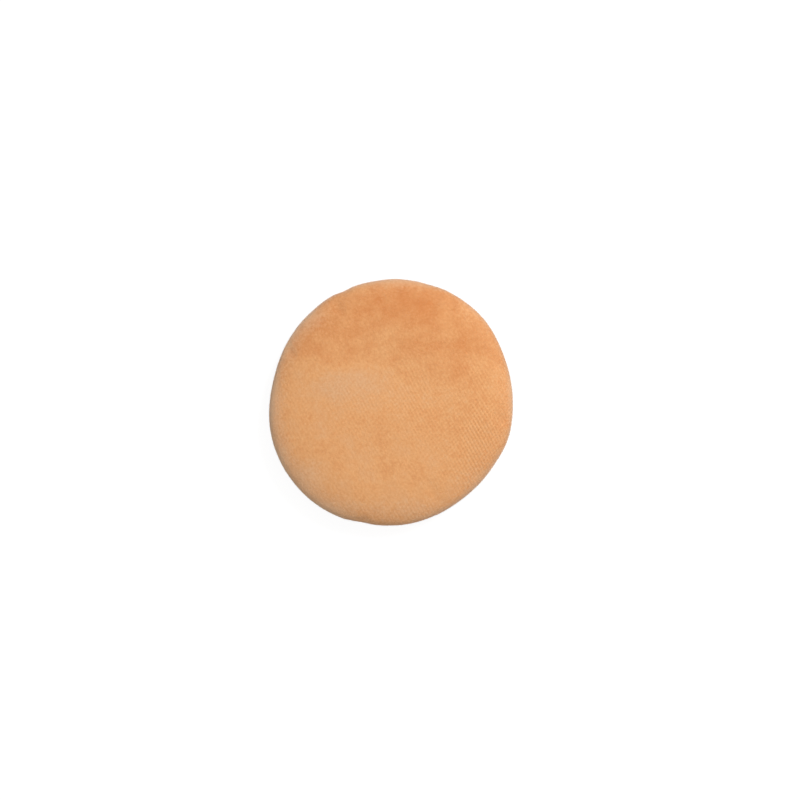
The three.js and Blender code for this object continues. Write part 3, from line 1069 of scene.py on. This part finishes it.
def velour_finish():
    def build(tree):
        place = tree.add("ShaderNodeTexCoord", output="Object")
        lay = noise(tree, place, lay_scale, 3)
        flock = noise(tree, place, flock_scale, 3)
        fibre = noise(tree, place, fibre_scale, 2)
        stray = tree.scaled(fibre.out("Color"), tuft_stray)
        spot = tree.add("ShaderNodeVectorMath", {"operation": "ADD"}, {0: place, 1: stray})
        tuft = tree.add("ShaderNodeTexVoronoi", {}, {"Vector": spot, "Scale": tuft_scale})
        crisp = attribute(tree, "matted") * matted_flock + flock_share
        # Pile lay tone: the pale flat pile is partly painted sheen, some patches painted light and
        # shade
        nap = attribute(tree, "nap") * nap_and_light_share + (lay - 0.5) * lay_share
        nap = nap + (flock - 0.5) * crisp + 0.5
        tone = ramp(tree, nap, (0.0, standing_pile_and_shade), (0.5, mid_pile), (0.86, flat_pile_and_sheen))
        # Painted shade in the valleys between the rows
        broken = attribute(tree, "rows") * flock * -valley_shade_contrast + valley_shade_contrast / 2
        valley_shade = ramp(tree, broken, (0.27, 0.0), (1.0, valley_shade_most))
        tone = tree.mix(valley_shade, tone, valley_shade_pile)
        # Painted shade in the gaps between tufts
        tone = tree.mix(ramp(tree, tuft, (0.2, 0.0), (0.65, tuft_gap_shade_most)), tone, tuft_gap_shade)
        tone = tree.mix(ramp(tree, flock, (0.34, flock_gap_most), (0.6, 0.0)), tone, flock_gap)
        # Paler where the rim is worn, with painted sheen and painted light on the rim's shaded side
        worn_and_lit = attribute(tree, "wear") + (flock - 0.5) * worn_and_lit_flock
        tone = tree.mix(ramp(tree, worn_and_lit, (0.1, 0.0), (1.0, worn_and_lit_most)), tone, worn_and_lit_pile)
        # Painted light on the fibres, paler towards their tips
        tone = tree.mix(attribute(tree, "tip") * painted_fibre_light_share, tone, painted_fibre_light)
        relief = bump(tree, fibre * 0.7 - tuft * 0.6, pile_relief, 0.6)
        return {"Base Color": tone, "Normal": relief}

    return new_finish(
        "velour",
        build,
        Roughness=0.9,
        Sheen_Weight=0.7,
        Sheen_Roughness=0.4,
        Specular_IOR_Level=0.15,
    )


def satin_finish():
    def build(tree):
        weave = attribute(tree, "weave", "Vector")
        warp = noise(tree, stretched(tree, weave, (12000, 110, 1)), 1, 2)
        weft = noise(tree, stretched(tree, weave, (900, 5200, 1)), 1, 2)
        cloudy = noise(tree, weave, 110, 2)
        spot = tree.add("ShaderNodeSeparateXYZ", {}, {0: weave})
        edge = spot.math("ABSOLUTE") / ribbon_half_width
        selvedge = ramp(tree, edge, (0.93, 0.0), (0.94, 1.0))
        picks = (spot.out("Y") * (2 * math.pi / pick_pitch)).math("SINE") * selvedge
        tone = ramp(tree, warp, (0.25, (222, 168, 127)), (0.75, (237, 187, 147)))
        # Painted sheen in soft broad patches
        tone = tree.mix(ramp(tree, cloudy, (0.35, 0.0), (0.7, 0.3)), tone, (243, 199, 162))
        tone = tree.mix(ramp(tree, weft, (0.45, 0.0), (0.8, 0.2)), tone, (208, 151, 110))
        tone = tree.mix(selvedge * (picks * 0.2 + 0.5), tone, (216, 164, 124))
        shine = ramp(tree, warp, (0.3, 0.38), (0.7, 0.3)) + selvedge * 0.25
        relief = bump(tree, warp * 0.5 + weft * 0.4 + picks, 0.02 * MM, 0.6)
        return {"Base Color": tone, "Roughness": shine, "Normal": relief}

    return new_finish("satin", build, Sheen_Weight=0.2, Sheen_Roughness=0.3)


def thread_finish():
    def build(tree):
        place = tree.add("ShaderNodeTexCoord", output="Object")
        fibre = noise(tree, place, 9000, 3)
        tone = ramp(tree, fibre, (0.3, (196, 140, 94)), (0.7, (226, 170, 120)))
        return {"Base Color": tone, "Normal": bump(tree, fibre, 0.03 * MM, 0.6)}

    return new_finish("thread", build, Roughness=0.6, Sheen_Weight=0.2)


def foam_finish():
    def build(tree):
        place = tree.add("ShaderNodeTexCoord", output="Object")
        cells = tree.add("ShaderNodeTexVoronoi", {}, {"Vector": place, "Scale": 1600.0})
        cloudy = noise(tree, place, 90, 3)
        tone = ramp(tree, cloudy, (0.3, (240, 228, 198)), (0.7, (247, 239, 216)))
        # Painted shade in the pores
        tone = tree.mix(ramp(tree, cells, (0.0, 0.55), (0.4, 0.0)), tone, (206, 188, 150))
        return {"Base Color": tone, "Normal": bump(tree, cells, 0.15 * MM, 0.8)}

    return new_finish("foam", build, Roughness=0.95, Specular_IOR_Level=0.2)


def wadding_finish():
    def build(tree):
        place = tree.add("ShaderNodeTexCoord", output="Object")
        swirl = noise(tree, place, 160, 2, 1.5)
        strand = noise(tree, stretched(tree, place, (3800, 700, 2600)), 1, 3)
        tone = ramp(tree, swirl, (0.3, (240, 236, 226)), (0.7, (250, 248, 243)))
        tone = tree.mix(ramp(tree, strand, (0.45, 0.0), (0.75, 0.4)), tone, (222, 216, 204))
        return {"Base Color": tone, "Normal": bump(tree, strand, 0.12 * MM, 0.7)}

    return new_finish("wadding", build, Roughness=1.0, Sheen_Weight=0.3)


# The set

white = (1, 1, 1, 1)
floor_half = 3.0
world_light = 0.54
key_light = 2.25  # how brightly it lights what faces it, at the puff
key_size = 0.28
key_distance = 0.55
key_degrees = (41, 52)  # from +X, and above the floor
paper_share = 0.2  # of the light that the floor sends back
paper_glow = 0.9  # brings it up to white where the camera sees it


def add_key():
    lamp = bpy.data.lights.new("key", "AREA")
    lamp.shape, lamp.size = "DISK", key_size
    lamp.energy = key_light * math.pi * key_distance**2
    holder = placed("key", lamp)
    turn, rise = map(math.radians, key_degrees)
    towards = (math.cos(turn) * math.cos(rise), math.sin(turn) * math.cos(rise), math.sin(rise))
    holder.location = [key_distance * share for share in towards]
    holder.rotation_euler = aimed([-share for share in towards])


def aimed(direction):
    return Vector(direction).to_track_quat("-Z", "Y").to_euler()


def add_camera():
    """Looks at the puff so that its middle and width fall on the photograph's pixels."""
    camera = bpy.data.cameras.new("camera")
    camera.lens, camera.sensor_width = lens_mm, sensor_mm
    distance = image_width_px * pixel * lens_mm / sensor_mm
    right = (image_width_px / 2 - puff_middle_px[0]) * pixel
    up = (puff_middle_px[1] - image_width_px / 2) * pixel
    back = np.array((0, -math.cos(view), math.sin(view)))
    holder = placed("camera", camera)
    holder.location = (right, up * math.sin(view), seam_height) + distance * back
    holder.rotation_euler = aimed(-back)
    scene.camera = holder


def seen_share(tree):
    """1 for what the camera sees, also through glass or in a mirror, and 0 for other light."""
    kinds = ("Is Camera Ray", "Is Glossy Ray", "Is Transmission Ray")
    camera, mirror, glass = [tree.add("ShaderNodeLightPath", output=kind) for kind in kinds]
    return camera.math("MAXIMUM", mirror).math("MAXIMUM", glass)


def add_floor():
    points = floor_half * np.array([(-1, -1, 0), (1, -1, 0), (1, 1, 0), (-1, 1, 0)])
    finish = bpy.data.materials.new("floor")
    tree = emptied(finish)
    paper = tree.add("ShaderNodeBsdfDiffuse", {}, {"Color": (*[paper_share] * 3, 1)})
    strength = seen_share(tree) * paper_glow
    glow = tree.add("ShaderNodeEmission", {}, {"Color": white, "Strength": strength})
    surface = tree.add("ShaderNodeAddShader", {}, {0: paper, 1: glow})
    tree.add("ShaderNodeOutputMaterial", {}, {"Surface": surface})
    floor = new_mesh("floor", points, [(0, 1, 2, 3)], finish)


def add_world():
    world = bpy.data.worlds.new("studio")
    tree = emptied(world)
    strength = seen_share(tree) * (1 - world_light) + world_light
    light = tree.add("ShaderNodeBackground", {}, {"Color": white, "Strength": strength})
    tree.add("ShaderNodeOutputWorld", {}, {"Surface": light})
    scene.world = world


# The puff

scene.view_settings.view_transform = "Standard"
add_camera()
add_world()
add_floor()
add_key()

velour = velour_finish()
thread_colour = thread_finish()
pile = pile_maker()
yarn = thread_maker()


def put(piece, node):
    """Hangs a piece on the root body and hides the node of the frame that it stands for."""
    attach(piece, "root")
    if node:
        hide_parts(node)
    return piece


face_form, back_form = (face_height, 0.0, 1), (back_height, back_flattening, -1)
face_marks = (face_lumps, face_nap_and_painted_light, face_rubbed, face_wear_and_painted_light)
back_marks = ((), (), back_rubbed, face_wear_and_painted_light)
face = cover("face_cover_velour", *face_form, face_marks, seed=21, finish=velour)
back = cover("back_cover_velour", *back_form, back_marks, seed=27, finish=velour)
for piece, node in ((face, "face_cover"), (back, "back_cover")):
    put(piece, node)

for name, base, where, seed in (
    ("face_pile", face, "pile", 5),
    ("face_rim_pile", face, "rim pile", 7),
    ("back_pile", back, "pile", 6),
    ("back_rim_pile", back, "rim pile", 8),
):
    sizes = {
        "Where": where,
        "Fibres to an area": fibre_density[where],
        "Length": fibre_length[where],
        "Width": fibre_width,
        "Lean": math.radians(fibre_lean_degrees),
        "Seed": seed,
        "Finish": velour,
    }
    put(map_fibres(made_by(pile, name, base, sizes)), None)

band, band_size = ribbon("satin_ribbon", satin_finish())
put(band, "finger_ribbon")

put(thread(yarn, "needle_yarn", lockstitch(1), thread_colour), "seam_needle_thread")
put(thread(yarn, "bobbin_yarn", lockstitch(-1), thread_colour), "seam_bobbin_thread")
put(thread(yarn, "closing_yarn", ladder(), thread_colour, True), "closing_thread")

fluff = wadding_finish()
put(foam_core("foam_core_cut", foam_finish()), "foam_core")
front = wadding("face_wadding_sheet", *face_form, seed=41, finish=fluff)
put(front, "face_wadding")
rear = wadding("back_wadding_sheet", *back_form, seed=43, finish=fluff)
put(rear, "back_wadding")
